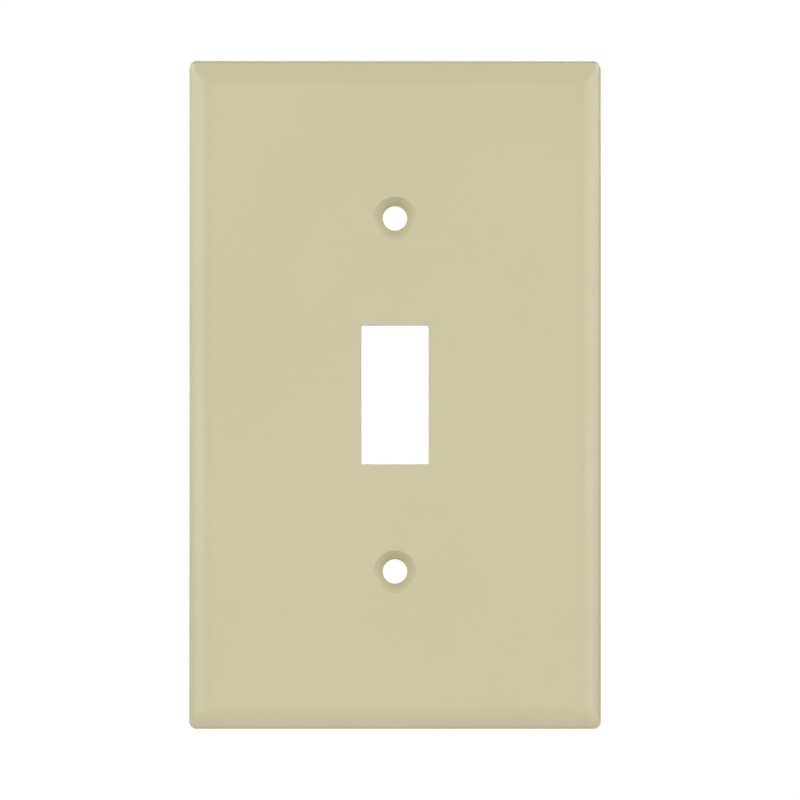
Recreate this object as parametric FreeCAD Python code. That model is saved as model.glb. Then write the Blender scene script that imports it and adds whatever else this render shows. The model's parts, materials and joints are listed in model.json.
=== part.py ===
import FreeCAD, Part

import os
from math import asin, cos, pi, radians, sin, tan

from FreeCAD import Vector

# Cover plate for a one-gang toggle switch: one plastic moulding with a hollow back, held by two
# countersunk screws. Millimetres, +Z up. The front faces -Y and the rim's back lies on the wall
# plane, y = 0. The origin is midway between the screw holes on that plane.

# Outline
WIDTH = 70.5
HEIGHT = 114.3
DEPTH = 5.6
CORNER_RADIUS = 1.25
WALL_SLOPE = radians(88)

# Rounded border of the face: a long shallow arc, then a tight one over into the side wall
BORDER = 4.2
BORDER_SLOPE = radians(22)
EDGE_RADIUS = 1.0

# Hollow back
SKIN = 2.0
RIM = 1.8
RIM_EDGE_RADIUS = 0.25
HOLLOW_CORNER_RADIUS = 2.0
HOLLOW_FILLET = 0.9
HOLLOW_DRAFT = radians(3)

# Screw holes, sunk for the screws' heads
SCREW_SPACING = 60.325
SCREW_HOLE_RADIUS = 2.1
SINK_RADIUS = 3.65
SINK_ANGLE = radians(82)
SINK_LIP_RADIUS = 0.25

# Toggle opening
OPENING_WIDTH = 11.5
OPENING_HEIGHT = 23.7
OPENING_CORNER_RADIUS = 0.3
OPENING_LIP_RADIUS = 0.15

# Stiffening inside the hollow, which stops short of the wall to clear the switch's steel strap
STRAP_SPACE = 1.6
BOSS_RADIUS = 5.2
COLLAR = 1.6
COLLAR_CORNER_RADIUS = 1.0
RIB = 1.3
RIB_END_RADIUS = 0.3
CROSS_RIB_SPACE = 2.4
STIFFENING_DRAFT = radians(1)

# Round marks left by the mould's ejector pins
PIN_MARK_RADIUS = 2.4
PIN_MARK_DEPTH = 0.15
PIN_MARK_X = 23.5
PIN_MARK_HEIGHTS = (-46.0, -21.5, 0.0, 21.5, 46.0)

# Levels along Y
FACE = -DEPTH
FLOOR = SKIN - DEPTH
SAME_LEVEL = 1e-4

INWARD = Vector(0, 1, 0)
OUTWARD = Vector(0, -1, 0)
ACROSS = Vector(1, 0, 0)
UP = Vector(0, 0, 1)


def on_arc(centre, radius, slope):
    """The point (across, y) of an arc about centre where it has this slope to the face."""
    return (centre[0] + radius * sin(slope), centre[1] - radius * cos(slope))


def long_arc_radius():
    """The radius that makes the long arc, the tight arc and the leaning wall BORDER wide in all."""
    lean = 1 / tan(WALL_SLOPE)
    edge_width = EDGE_RADIUS * (sin(WALL_SLOPE) - sin(BORDER_SLOPE))
    edge_drop = EDGE_RADIUS * (cos(BORDER_SLOPE) - cos(WALL_SLOPE))
    width_left = BORDER - edge_width - (DEPTH - edge_drop) * lean
    return width_left / (sin(BORDER_SLOPE) - (1 - cos(BORDER_SLOPE)) * lean)


def half_section(half, place):
    """Half of the unhollowed plate's section, out to half. place makes (across, y) a 3-D point."""
    radius = long_arc_radius()
    centre = (half - BORDER, FACE + radius)
    start_slope = asin(max(BORDER - half, 0) / radius)
    start = on_arc(centre, radius, start_slope)
    middle = on_arc(centre, radius, (start_slope + BORDER_SLOPE) / 2)
    join = on_arc(centre, radius, BORDER_SLOPE)
    edge_centre = on_arc(centre, radius - EDGE_RADIUS, BORDER_SLOPE)
    edge_middle = on_arc(edge_centre, EDGE_RADIUS, (BORDER_SLOPE + WALL_SLOPE) / 2)
    wall_top = on_arc(edge_centre, EDGE_RADIUS, WALL_SLOPE)
    corners = [wall_top, (half, 0), (0, 0), (0, start[1])]
    if start[0] > 0:
        corners.append(start)
    edges = [
        Part.Arc(place(*start), place(*middle), place(*join)).toShape(),
        Part.Arc(place(*join), place(*edge_middle), place(*wall_top)).toShape(),
    ]
    for here, there in zip(corners, corners[1:]):
        edges.append(Part.LineSegment(place(*here), place(*there)).toShape())
    return Part.Face(Part.Wire(edges))


def on_all_sides(shape):
    """The shape joined with its mirror images across the plate's two middle planes."""
    half = shape.fuse(shape.mirror(Vector(), ACROSS))
    return half.fuse(half.mirror(Vector(), UP)).removeSplitter()


def solid_plate():
    """The plate before it is hollowed: its borders meet in a mitre, and its corners are round."""
    tall = half_section(WIDTH / 2, lambda x, y: Vector(x, y, 0)).extrude(UP * (HEIGHT / 2))
    wide = half_section(HEIGHT / 2, lambda z, y: Vector(0, y, z)).extrude(ACROSS * (WIDTH / 2))
    corner = Vector(WIDTH / 2 - CORNER_RADIUS, 0, HEIGHT / 2 - CORNER_RADIUS)
    square_post = Part.makeBox(CORNER_RADIUS, DEPTH, CORNER_RADIUS, corner + OUTWARD * DEPTH)
    round_post = half_section(CORNER_RADIUS, lambda x, y: Vector(x, y, 0))
    round_post = round_post.revolve(Vector(), OUTWARD, 90)
    round_post.translate(corner)
    return on_all_sides(tall.common(wide).cut(square_post).fuse(round_post))


def drafted_block(width, height, radius, start, end, draft):
    """A block centred on the Y axis, width by height on the level start, narrowing to end."""
    less = (end - start) * tan(draft)
    x = width / 2
    z = height / 2
    block = Part.makeWedge(
        -x, start, -z, less - z, less - x, x, end, z, z - less, x - less
    )
    corners = [edge for edge in block.Edges if edge.BoundBox.YLength > SAME_LEVEL]
    return block.makeFillet(radius, corners)


def face_on(shape, level):
    """The flat face that lies on this level."""
    for face in shape.Faces:
        box = face.BoundBox
        if max(abs(box.YMin - level), abs(box.YMax - level)) < SAME_LEVEL:
            return face


def edges_round_opening(face):
    """The edges of a face that go round the opening in it."""
    inner = [wire for wire in face.Wires if not wire.isSame(face.OuterWire)]
    return inner[0].Edges


def hollow():
    """The space behind the face, inside the rim."""
    less = -2 * FLOOR * tan(HOLLOW_DRAFT)
    width = WIDTH - 2 * RIM - less
    height = HEIGHT - 2 * RIM - less
    space = drafted_block(width, height, HOLLOW_CORNER_RADIUS, FLOOR, 0, -HOLLOW_DRAFT)
    return space.makeFillet(HOLLOW_FILLET, face_on(space, FLOOR).Edges)


def screw_boss(height):
    """The round post behind one screw hole."""
    length = -STRAP_SPACE - FLOOR
    end_radius = BOSS_RADIUS - length * tan(STIFFENING_DRAFT)
    return Part.makeCone(BOSS_RADIUS, end_radius, length, Vector(0, FLOOR, height), INWARD)


def cross_rib(height):
    """A low rib from side wall to side wall."""
    rib = drafted_block(
        WIDTH - RIM, RIB, RIB_END_RADIUS, FLOOR, -CROSS_RIB_SPACE, STIFFENING_DRAFT
    )
    rib.translate(UP * height)
    return rib


def stiffening():
    """The opening's collar, a web from it to each screw boss, and ribs out to the side walls."""
    collar_height = OPENING_HEIGHT + 2 * COLLAR
    collar = drafted_block(
        OPENING_WIDTH + 2 * COLLAR,
        collar_height,
        COLLAR_CORNER_RADIUS,
        FLOOR,
        -STRAP_SPACE,
        STIFFENING_DRAFT,
    )
    web = drafted_block(RIB, SCREW_SPACING, RIB_END_RADIUS, FLOOR, -STRAP_SPACE, STIFFENING_DRAFT)
    pieces = [web]
    for side in (-1, 1):
        boss_height = side * SCREW_SPACING / 2
        pieces.append(screw_boss(boss_height))
        pieces.append(cross_rib(boss_height))
        pieces.append(cross_rib(side * (collar_height - RIB) / 2))
    return collar.fuse(pieces).removeSplitter()


def screw_hole(height):
    """What is cut away for one screw: a straight hole and the sink for its head, with a soft lip."""
    half_angle = SINK_ANGLE / 2
    lip = SINK_LIP_RADIUS / tan((pi / 2 + half_angle) / 2)
    lip_centre = (SINK_RADIUS + lip, FACE + SINK_LIP_RADIUS)
    lip_slope = half_angle - pi / 2
    lip_start = on_arc(lip_centre, SINK_LIP_RADIUS, 0)
    lip_middle = on_arc(lip_centre, SINK_LIP_RADIUS, lip_slope / 2)
    lip_end = on_arc(lip_centre, SINK_LIP_RADIUS, lip_slope)
    sink_end = (SCREW_HOLE_RADIUS, FACE + (SINK_RADIUS - SCREW_HOLE_RADIUS) / tan(half_angle))
    corners = [lip_end, sink_end, (SCREW_HOLE_RADIUS, 0), (0, 0), (0, FACE), lip_start]

    def place(point):
        return Vector(point[0], point[1], height)

    edges = [Part.Arc(place(lip_start), place(lip_middle), place(lip_end)).toShape()]
    for here, there in zip(corners, corners[1:]):
        edges.append(Part.LineSegment(place(here), place(there)).toShape())
    return Part.Face(Part.Wire(edges)).revolve(place((0, 0)), INWARD, 360)


def toggle_opening():
    """What is cut away for the switch's toggle."""
    return drafted_block(OPENING_WIDTH, OPENING_HEIGHT, OPENING_CORNER_RADIUS, FACE, 0, 0)


def pin_marks():
    """Shallow round recesses in the hollow's floor."""
    marks = []
    for x in (-PIN_MARK_X, PIN_MARK_X):
        for height in PIN_MARK_HEIGHTS:
            foot = Vector(x, FLOOR - PIN_MARK_DEPTH, height)
            marks.append(Part.makeCylinder(PIN_MARK_RADIUS, PIN_MARK_DEPTH, foot, INWARD))
    return Part.makeCompound(marks)


def wall_plate():
    """The whole moulding."""
    plate = solid_plate().cut(hollow())
    plate = plate.makeFillet(RIM_EDGE_RADIUS, edges_round_opening(face_on(plate, 0)))
    plate = plate.fuse(stiffening()).removeSplitter().cut(toggle_opening())
    plate = plate.makeFillet(OPENING_LIP_RADIUS, edges_round_opening(face_on(plate, FACE)))
    for side in (-1, 1):
        plate = plate.cut(screw_hole(side * SCREW_SPACING / 2))
    return plate.cut(pin_marks())


os.makedirs("parts", exist_ok=True)
wall_plate().exportStep("parts/wall_plate.step")
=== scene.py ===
import json
from math import cos, pi, radians, sin, tan

import bmesh
import bpy
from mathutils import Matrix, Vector


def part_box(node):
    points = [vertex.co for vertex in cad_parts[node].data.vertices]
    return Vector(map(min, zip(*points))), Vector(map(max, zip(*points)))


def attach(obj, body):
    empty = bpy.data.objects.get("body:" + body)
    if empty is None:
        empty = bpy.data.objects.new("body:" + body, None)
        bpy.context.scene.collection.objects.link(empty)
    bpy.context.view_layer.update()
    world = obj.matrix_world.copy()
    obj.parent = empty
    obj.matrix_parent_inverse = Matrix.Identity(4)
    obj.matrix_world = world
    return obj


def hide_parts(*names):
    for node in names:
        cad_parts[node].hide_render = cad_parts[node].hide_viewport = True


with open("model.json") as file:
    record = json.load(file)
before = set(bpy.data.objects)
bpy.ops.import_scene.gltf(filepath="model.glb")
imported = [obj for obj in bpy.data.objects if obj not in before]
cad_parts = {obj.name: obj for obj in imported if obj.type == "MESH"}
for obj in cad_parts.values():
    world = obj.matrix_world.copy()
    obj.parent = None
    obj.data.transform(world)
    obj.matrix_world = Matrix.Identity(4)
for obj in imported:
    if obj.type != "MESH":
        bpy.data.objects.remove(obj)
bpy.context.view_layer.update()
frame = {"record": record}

# Plate
# One injection moulding in ivory plastic. The mould's cavity gives it a flat face with a wide soft
# border, a long shallow arc and then a tight one, that runs over into slightly leaning side walls.
mm = 0.001
low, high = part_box("wall_plate")
width = high.x - low.x
height = high.z - low.z
face_level = low.y
border = 4.2 * mm
border_slope = radians(22)
edge_radius = 1.0 * mm
wall_slope = radians(88)
corner_radius = 1.25 * mm
edge_steps = 10
border_steps = 20
corner_steps = 12
same_place = 0.01 * mm
nearly_along = cos(radians(20))

lean = 1 / tan(wall_slope)
edge_width = edge_radius * (sin(wall_slope) - sin(border_slope))
edge_drop = edge_radius * (cos(border_slope) - cos(wall_slope))
border_radius = border - edge_width + (face_level + edge_drop) * lean
border_radius /= sin(border_slope) - (1 - cos(border_slope)) * lean
border_drop = border_radius * (1 - cos(border_slope))
wall_height = -face_level - edge_drop - border_drop


def pick(kind, wanted):
    """Selects only the faces or edges that pass a test on the element and its middle."""
    bpy.ops.mesh.select_all(action="DESELECT")
    bpy.ops.mesh.select_mode(type=kind)
    mesh = bmesh.from_edit_mesh(bpy.context.object.data)
    for face in mesh.faces if kind == "FACE" else ():
        face.select = wanted(face, face.calc_center_median())
    for edge in mesh.edges if kind == "EDGE" else ():
        edge.select = wanted(edge, (edge.verts[0].co + edge.verts[1].co) / 2)
    mesh.select_flush_mode()
    bmesh.update_edit_mesh(bpy.context.object.data)


def runs_along(edge, axis):
    """Does this edge run along this axis, give or take 20 degrees?"""
    along = edge.verts[1].co - edge.verts[0].co
    return abs(along[axis]) > nearly_along * along.length


def add_outline(name, across, up, level, middle=0.0, sides=4):
    """A flat face that looks forward, centred on x = 0 at this height, in edit mode."""
    if bpy.context.object and bpy.context.object.mode == "EDIT":
        bpy.ops.object.mode_set(mode="OBJECT")
    bpy.ops.object.select_all(action="DESELECT")
    place = (0, level, middle)
    if sides == 4:
        bpy.ops.mesh.primitive_plane_add(size=1, location=place, rotation=(pi / 2, 0, 0))
    else:
        bpy.ops.mesh.primitive_circle_add(
            vertices=sides, radius=0.5, fill_type="NGON", location=place, rotation=(pi / 2, 0, 0)
        )
    bpy.ops.transform.resize(value=(across, 1, up), center_override=place)
    bpy.ops.object.transform_apply(location=True, rotation=True, scale=True)
    bpy.context.object.name = name
    bpy.ops.object.mode_set(mode="EDIT")
    return bpy.context.object


def close_back():
    """Fills the open back of the shape that is being made."""
    pick("EDGE", lambda edge, middle: edge.is_boundary)
    bpy.ops.mesh.edge_face_add()


def inset_arc(radius, start_slope, end_slope, steps):
    """Insets the selected face step by step along an arc, between two slopes to that face."""
    turn = (start_slope - end_slope) / steps
    for step in range(steps):
        steep = start_slope - step * turn
        shallow = steep - turn
        bpy.ops.mesh.inset(
            thickness=radius * abs(sin(steep) - sin(shallow)),
            depth=radius * abs(cos(shallow) - cos(steep)),
        )


plate = add_outline("plate", width, height, 0)
bpy.ops.mesh.inset(thickness=wall_height * lean, depth=wall_height)
inset_arc(edge_radius, wall_slope, border_slope, edge_steps)
inset_arc(border_radius, border_slope, 0, border_steps)
close_back()

# Hollow back
# The mould's core leaves the plate hollow behind its face, inside a rim that bears on the wall. Its
# walls lean so that the plate comes off the core, and its corners and edges are round.
skin = 2.0 * mm
rim = 1.8 * mm
hollow_lean = radians(3)
hollow_corner_radius = 2.0 * mm
hollow_fillet = 0.9 * mm
hollow_fillet_steps = 8
rim_edge_radius = 0.25 * mm
rim_edge_steps = 4
floor_level = face_level + skin
square_edge = radians(57)

pick("FACE", lambda face, middle: face.normal.y > 0.9)
bpy.ops.mesh.inset(thickness=rim, depth=0)
bpy.ops.mesh.inset(thickness=-floor_level * tan(hollow_lean), depth=floor_level)


def in_hollow(middle):
    """Is this point within the rim's inner outline, and behind the skin?"""
    return (
        abs(middle.x) < width / 2 - rim / 2
        and abs(middle.z) < height / 2 - rim / 2
        and middle.y > floor_level - same_place
    )


pick("EDGE", lambda edge, middle: in_hollow(middle) and runs_along(edge, 1))
bpy.ops.mesh.bevel(offset=hollow_corner_radius, segments=corner_steps, affect="EDGES")
pick(
    "EDGE",
    lambda edge, middle: abs(middle.y - floor_level) < same_place
    and edge.calc_face_angle() > square_edge,
)
bpy.ops.mesh.bevel(offset=hollow_fillet, segments=hollow_fillet_steps, affect="EDGES")
pick(
    "EDGE",
    lambda edge, middle: in_hollow(middle)
    and abs(middle.y) < same_place
    and edge.calc_face_angle() > square_edge,
)
bpy.ops.mesh.bevel(offset=rim_edge_radius, segments=rim_edge_steps, affect="EDGES")


def on_mitre(edge):
    """Does this edge go up a corner of the plate, as far across as it goes up?"""
    along = edge.verts[1].co - edge.verts[0].co
    return abs(abs(along.x) - abs(along.z)) < same_place and not runs_along(edge, 0)


pick(
    "EDGE",
    lambda edge, middle: on_mitre(edge) and not in_hollow(middle) and middle.y < -same_place,
)
bpy.ops.mesh.bevel(
    offset=corner_radius, offset_type="ABSOLUTE", segments=corner_steps, affect="EDGES"
)

# Stiffening
# Moulded in one with the plate: a collar round the opening, a web from it to a boss behind each
# screw hole, and low ribs out to the side walls. All stop short of the wall, to clear the steel
# strap of the switch.
strap_space = 1.6 * mm
boss_radius = 5.2 * mm
collar = 1.6 * mm
collar_corner_radius = 1.0 * mm
rib = 1.3 * mm
rib_end_radius = 0.3 * mm
cross_rib_space = 2.4 * mm
stiffening_lean = radians(1)
stiffening_corner_steps = 6
boss_sides = 96
sunk_in_floor = 0.5 * mm
merge_distance = 0.002 * mm
opening_width = 11.5 * mm
opening_height = 23.7 * mm
screw_spacing = next(
    mount["dims"]["spacing_y_mm"] * mm
    for mount in frame["record"]["mounts"]
    if mount["name"] == "screw_holes"
)


def combine(tool, operation):
    """Joins a tool's shape to the plate, or cuts it away, and removes the tool."""
    bpy.ops.object.mode_set(mode="OBJECT")
    bpy.ops.object.select_all(action="DESELECT")
    bpy.context.view_layer.objects.active = plate
    change = plate.modifiers.new("change", "BOOLEAN")
    change.object = tool
    change.operation = operation
    change.solver = "EXACT"
    bpy.ops.object.modifier_apply(modifier=change.name)
    tool.select_set(True)
    bpy.ops.object.delete()
    bpy.context.view_layer.objects.active = plate
    bpy.ops.object.mode_set(mode="EDIT")
    bpy.ops.mesh.select_all(action="SELECT")
    bpy.ops.mesh.remove_doubles(threshold=merge_distance)
    bpy.ops.mesh.dissolve_degenerate(threshold=merge_distance)
    bpy.ops.object.mode_set(mode="OBJECT")


def join_stiffener(name, across, up, radius, end_level, middle=0.0, sides=4):
    """Joins a leaning-sided block to the plate, from inside the skin back to this level."""
    block = add_outline(name, across, up, floor_level - sunk_in_floor, middle, sides)
    bpy.ops.mesh.flip_normals()
    if sides == 4:
        bpy.ops.mesh.bevel(offset=radius, segments=stiffening_corner_steps, affect="VERTICES")
    bpy.ops.mesh.inset(thickness=0, depth=sunk_in_floor)
    length = end_level - floor_level
    bpy.ops.mesh.inset(thickness=length * tan(stiffening_lean), depth=length)
    close_back()
    combine(block, "UNION")


collar_width = opening_width + 2 * collar
collar_height = opening_height + 2 * collar
join_stiffener("collar", collar_width, collar_height, collar_corner_radius, -strap_space)
join_stiffener("web", rib, screw_spacing, rib_end_radius, -strap_space)
for side in (-1, 1):
    screw_height = side * screw_spacing / 2
    inner_rib_height = side * (collar_height - rib) / 2
    boss_width = 2 * boss_radius
    join_stiffener("boss", boss_width, boss_width, 0, -strap_space, screw_height, boss_sides)
    for rib_height in (screw_height, inner_rib_height):
        join_stiffener("rib", width - rim, rib, rib_end_radius, -cross_rib_space, rib_height)

# Screw holes
# Two straight holes for the plate screws, each with a cone sunk in the face for an oval head. The
# mould's pins that form them have a small radius, so the cone meets the face in a soft lip.
screw_hole_radius = 2.1 * mm
sink_radius = 3.65 * mm
sink_angle = radians(82)
sink_lip_radius = 0.25 * mm
lip_steps = 6
hole_sides = 128
clear_of_plate = 1 * mm
sink_slope = (pi - sink_angle) / 2
lip_outer_radius = sink_radius + sink_lip_radius * tan(sink_slope / 2)
cone_width = lip_outer_radius - sink_lip_radius * sin(sink_slope) - screw_hole_radius

for side in (-1, 1):
    drill = add_outline(
        "drill",
        2 * lip_outer_radius,
        2 * lip_outer_radius,
        face_level - clear_of_plate,
        side * screw_spacing / 2,
        hole_sides,
    )
    bpy.ops.mesh.flip_normals()
    bpy.ops.mesh.inset(thickness=0, depth=clear_of_plate)
    inset_arc(sink_lip_radius, 0, sink_slope, lip_steps)
    bpy.ops.mesh.inset(thickness=cone_width, depth=cone_width * tan(sink_slope))
    bpy.ops.mesh.inset(thickness=0, depth=-face_level)
    close_back()
    combine(drill, "DIFFERENCE")

# Toggle opening
# The rectangle that the switch's toggle comes through. Its walls are straight, its corners nearly
# square, and its edge on the face has the small radius that the mould's core block leaves.
opening_corner_radius = 0.3 * mm
opening_lip_radius = 0.15 * mm
opening_corner_steps = 8

punch = add_outline(
    "punch",
    opening_width + 2 * opening_lip_radius,
    opening_height + 2 * opening_lip_radius,
    face_level - clear_of_plate,
)
bpy.ops.mesh.flip_normals()
bpy.ops.mesh.bevel(
    offset=opening_corner_radius + opening_lip_radius,
    segments=opening_corner_steps,
    affect="VERTICES",
)
bpy.ops.mesh.inset(thickness=0, depth=clear_of_plate)
inset_arc(opening_lip_radius, 0, pi / 2, lip_steps)
bpy.ops.mesh.inset(thickness=0, depth=-face_level)
close_back()
combine(punch, "DIFFERENCE")

# Soft edges on the back
# The core is cut with a small radius at the root and along the top of every rib, boss and wall.
# Joining and cutting leave spare points on straight edges, which are merged first so that the
# radii are clean.
back_edge_radius = 0.2 * mm
back_edge_steps = 3
sharp_edge = radians(40)
nearly_straight = radians(0.05)

bpy.ops.object.select_all(action="DESELECT")
bpy.context.view_layer.objects.active = plate
bpy.ops.object.mode_set(mode="EDIT")
bpy.ops.mesh.select_all(action="SELECT")
bpy.ops.mesh.dissolve_limited(angle_limit=nearly_straight)
pick(
    "EDGE",
    lambda edge, middle: in_hollow(middle)
    and middle.y < -same_place
    and edge.calc_face_angle() > sharp_edge,
)
bpy.ops.mesh.bevel(offset=back_edge_radius, segments=back_edge_steps, affect="EDGES")
bpy.ops.mesh.select_all(action="SELECT")
bpy.ops.mesh.remove_doubles(threshold=merge_distance)
bpy.ops.mesh.dissolve_degenerate(threshold=merge_distance)
bpy.ops.object.mode_set(mode="OBJECT")

# Pin marks
# Shallow round recesses in the hollow's floor, five down each side. The steel pins that push the
# plate off the core leave them.
pin_mark_radius = 2.4 * mm
pin_mark_depth = 0.15 * mm
pin_mark_x = 23.5 * mm
pin_mark_heights = (-46 * mm, -21.5 * mm, 0, 21.5 * mm, 46 * mm)
pin_mark_sides = 48

for side in (-1, 1):
    for mark_height in pin_mark_heights:
        mark = add_outline(
            "pin mark",
            2 * pin_mark_radius,
            2 * pin_mark_radius,
            floor_level + clear_of_plate,
            mark_height,
            pin_mark_sides,
        )
        bpy.ops.transform.translate(value=(side * pin_mark_x, 0, 0))
        bpy.ops.mesh.inset(thickness=0, depth=clear_of_plate + pin_mark_depth)
        close_back()
        combine(mark, "DIFFERENCE")

# Finish
# Ivory plastic, coloured right through. The cavity's polish gives the face a soft gloss with faint
# orange peel and a slight long wave. The core, the rim and the walls are only spark-eroded, which
# leaves them duller, with a fine grain.
ivory = (0.571, 0.532, 0.341)
plastic_ior = 1.6
cloud_length = 32 * mm
cloud_change = 0.015
fleck_length = 0.9 * mm
fleck_shade = (0.99, 0.98802, 0.97515, 1)
gloss_length = 11 * mm
gloss_change = 0.043
face_roughness = 0.29
back_roughness = 0.52
long_wave = (42 * mm, 0.06 * mm)
orange_peel = (1.6 * mm, 0.014 * mm)
polishing_marks = (0.22 * mm, 0.0012 * mm)
coarse_grain = (0.4 * mm, 0.032 * mm)
fine_grain = (0.15 * mm, 0.01 * mm)
middle_of_noise = (0.3, 0.7)
wall_facing = -0.1
smooth_angle = radians(35)

plate.select_set(True)
bpy.ops.object.shade_smooth_by_angle(angle=smooth_angle)
shading = plate.modifiers.new("shading", "WEIGHTED_NORMAL")
shading.keep_sharp = True
bpy.ops.object.modifier_apply(modifier=shading.name)


def ivory_plastic(name, roughness, waves):
    """Ivory plastic with these waves, each a (length, height), one on top of another."""
    finish = bpy.data.materials.new(name)
    finish.use_nodes = True
    nodes = finish.node_tree.nodes
    links = finish.node_tree.links
    surface = nodes["Principled BSDF"]
    surface.inputs["IOR"].default_value = plastic_ior
    place = nodes.new("ShaderNodeTexCoord").outputs["Object"]

    def add_noise(length, detail):
        noise = nodes.new("ShaderNodeTexNoise")
        noise.inputs["Scale"].default_value = 1 / length
        noise.inputs["Detail"].default_value = detail
        links.new(place, noise.inputs["Vector"])
        return noise.outputs["Fac"]

    def add_range(value, lowest, highest):
        spread = nodes.new("ShaderNodeMapRange")
        spread.inputs["From Min"].default_value = middle_of_noise[0]
        spread.inputs["From Max"].default_value = middle_of_noise[1]
        spread.inputs["To Min"].default_value = lowest
        spread.inputs["To Max"].default_value = highest
        links.new(value, spread.inputs["Value"])
        return spread.outputs["Result"]

    def add_colour_mix(blend):
        mix = nodes.new("ShaderNodeMix")
        mix.data_type = "RGBA"
        mix.blend_type = blend
        factor, first, second = (put for put in mix.inputs if put.enabled)
        return factor, first, second, next(put for put in mix.outputs if put.enabled)

    cloud, darker, lighter, clouded = add_colour_mix("MIX")
    darker.default_value = (*(part * (1 - cloud_change) for part in ivory), 1)
    lighter.default_value = (*(part * (1 + cloud_change) for part in ivory), 1)
    links.new(add_range(add_noise(cloud_length, 2), 0, 1), cloud)
    fleck, in_fleck, between, flecked = add_colour_mix("MIX")
    in_fleck.default_value = fleck_shade
    between.default_value = (1, 1, 1, 1)
    links.new(add_range(add_noise(fleck_length, 3), 0, 1), fleck)
    amount, first, second, color = add_colour_mix("MULTIPLY")
    amount.default_value = 1
    links.new(clouded, first)
    links.new(flecked, second)
    links.new(color, surface.inputs["Base Color"])

    least, most = roughness * (1 - gloss_change), roughness * (1 + gloss_change)
    links.new(add_range(add_noise(gloss_length, 4), least, most), surface.inputs["Roughness"])
    normal = None
    for length, wave_height in waves:
        bump = nodes.new("ShaderNodeBump")
        bump.inputs["Distance"].default_value = wave_height
        links.new(add_noise(length, 2), bump.inputs["Height"])
        if normal:
            links.new(normal, bump.inputs["Normal"])
        normal = bump.outputs["Normal"]
    links.new(normal, surface.inputs["Normal"])
    return finish


face_finish = ivory_plastic(
    "ivory plastic, polished", face_roughness, (long_wave, orange_peel, polishing_marks)
)
back_finish = ivory_plastic(
    "ivory plastic, spark-eroded", back_roughness, (long_wave, coarse_grain, fine_grain)
)
plate.data.materials.clear()
for finish in (face_finish, back_finish):
    plate.data.materials.append(finish)
bpy.context.view_layer.objects.active = plate
bpy.ops.object.mode_set(mode="EDIT")
pick("FACE", lambda face, middle: in_hollow(middle) or face.normal.y > wall_facing)
plate.active_material_index = 1
bpy.ops.object.material_slot_assign()
bpy.ops.object.mode_set(mode="OBJECT")

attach(plate, "root")
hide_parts("wall_plate")

# Floor
# A plain pale studio floor, well below the plate, which hangs in the air above it. It looks paler
# than the light on it makes it, and throws none of that extra light on the plate.
floor_radius = 4.5
floor_height = -0.6
floor_sides = 128
floor_grey = (0.8, 0.8, 0.8, 1)
floor_glow = (0.45, 0.45, 0.45, 1)
floor_roughness = 0.9

bpy.ops.object.select_all(action="DESELECT")
bpy.ops.mesh.primitive_circle_add(
    vertices=floor_sides, radius=floor_radius, fill_type="NGON", location=(0, 0, floor_height)
)
floor = bpy.context.object
floor.name = "floor"
bpy.ops.object.transform_apply(location=True, rotation=True, scale=True)
pale = bpy.data.materials.new("pale floor")
pale.use_nodes = True
floor_surface = pale.node_tree.nodes["Principled BSDF"]
floor_surface.inputs["Base Color"].default_value = floor_grey
floor_surface.inputs["Roughness"].default_value = floor_roughness
floor_surface.inputs["Emission Color"].default_value = floor_glow
floor_rays = pale.node_tree.nodes.new("ShaderNodeLightPath")
pale.node_tree.links.new(
    floor_rays.outputs["Is Camera Ray"], floor_surface.inputs["Emission Strength"]
)
floor.data.materials.append(pale)

# Light
# A white studio backdrop that gives little light itself, and soft rectangular lamps. Two large
# ones, up and to the sides, do most of the work. Small ones fill in from the front, and two light
# the back.
white = (1, 1, 1, 1)
backdrop_strength = 0.03

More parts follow.
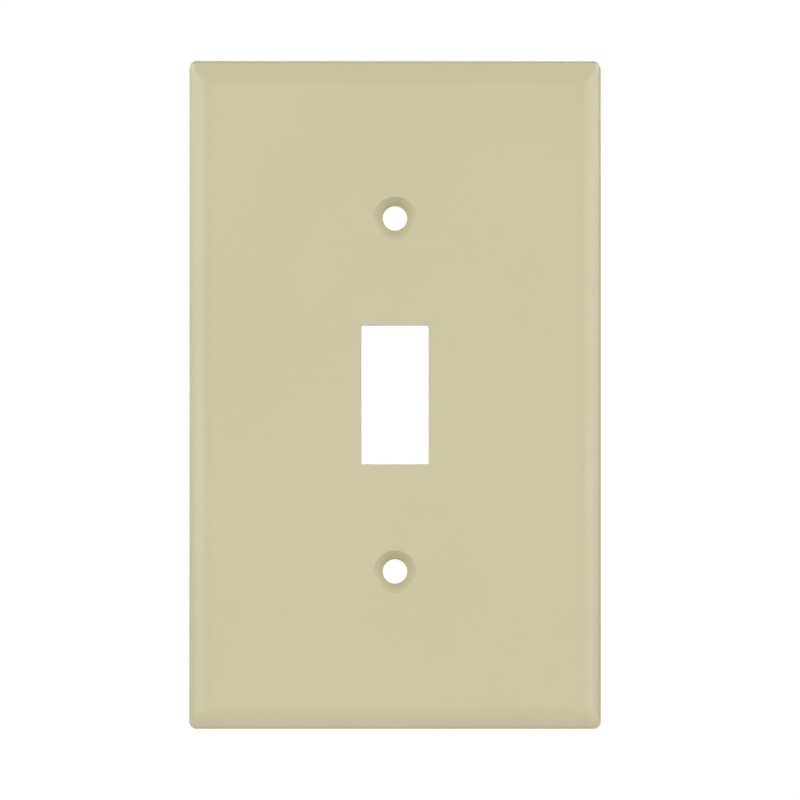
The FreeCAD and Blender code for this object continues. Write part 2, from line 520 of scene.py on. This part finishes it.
world = bpy.data.worlds.new("studio")
bpy.context.scene.world = world
world.use_nodes = True
nodes = world.node_tree.nodes
links = world.node_tree.links
seen = nodes["Background"]
seen.inputs["Color"].default_value = white
around = nodes.new("ShaderNodeBackground")
around.inputs["Color"].default_value = white
around.inputs["Strength"].default_value = backdrop_strength
rays = nodes.new("ShaderNodeLightPath")
backdrop = nodes.new("ShaderNodeMixShader")
links.new(rays.outputs["Is Camera Ray"], backdrop.inputs["Fac"])
links.new(around.outputs["Background"], backdrop.inputs[1])
links.new(seen.outputs["Background"], backdrop.inputs[2])
links.new(backdrop.outputs["Shader"], nodes["World Output"].inputs["Surface"])


def add_softbox(name, azimuth, elevation, distance, size, power):
    """A rectangular area light that looks at the plate. Azimuth 0 is straight in front of it."""
    turn, rise = radians(azimuth), radians(elevation)
    towards = Vector((sin(turn) * cos(rise), -cos(turn) * cos(rise), sin(rise)))
    bpy.ops.object.light_add(type="AREA", location=distance * towards)
    light = bpy.context.object
    light.name = name
    light.rotation_euler = towards.to_track_quat("Z", "Y").to_euler()
    light.visible_camera = False
    light.data.shape = "RECTANGLE"
    light.data.size, light.data.size_y = size
    light.data.energy = power


for side, name in ((-1, "left"), (1, "right")):
    add_softbox(name + " key softbox", side * 61.7, 26.9, 1.5, (1.3, 1.3), 17.2)
    add_softbox(name + " side softbox", side * 30, 0, 1.5, (0.55, 0.42), 1.98)
add_softbox("front softbox", 0, 3, 1.8, (0.5, 0.3), 0.84)
add_softbox("low front softbox", 0, -9, 1.5, (0.9, 0.32), 1.4)
add_softbox("rear right softbox", 155, 25, 1.5, (1.2, 1.0), 13)
add_softbox("rear left softbox", -135, 15, 1.5, (1.2, 1.0), 8)

# Camera
# A long lens 1.2 m in front of the face and square to it, aimed a little right of and below the
# plate's middle, with a frame 136.4 mm wide at the face.
camera_distance = 1.2
camera_right = 0.86 * mm
camera_down = 0.86 * mm
frame_span = 136.4 * mm
sensor_width = 36
nearest_seen = 0.01

bpy.ops.object.camera_add(
    location=(camera_right, face_level - camera_distance, -camera_down), rotation=(pi / 2, 0, 0)
)
camera = bpy.context.object
camera.data.sensor_width = sensor_width
camera.data.lens = sensor_width * camera_distance / frame_span
camera.data.clip_start = nearest_seen
bpy.context.scene.camera = camera
bpy.context.scene.view_settings.view_transform = "Standard"
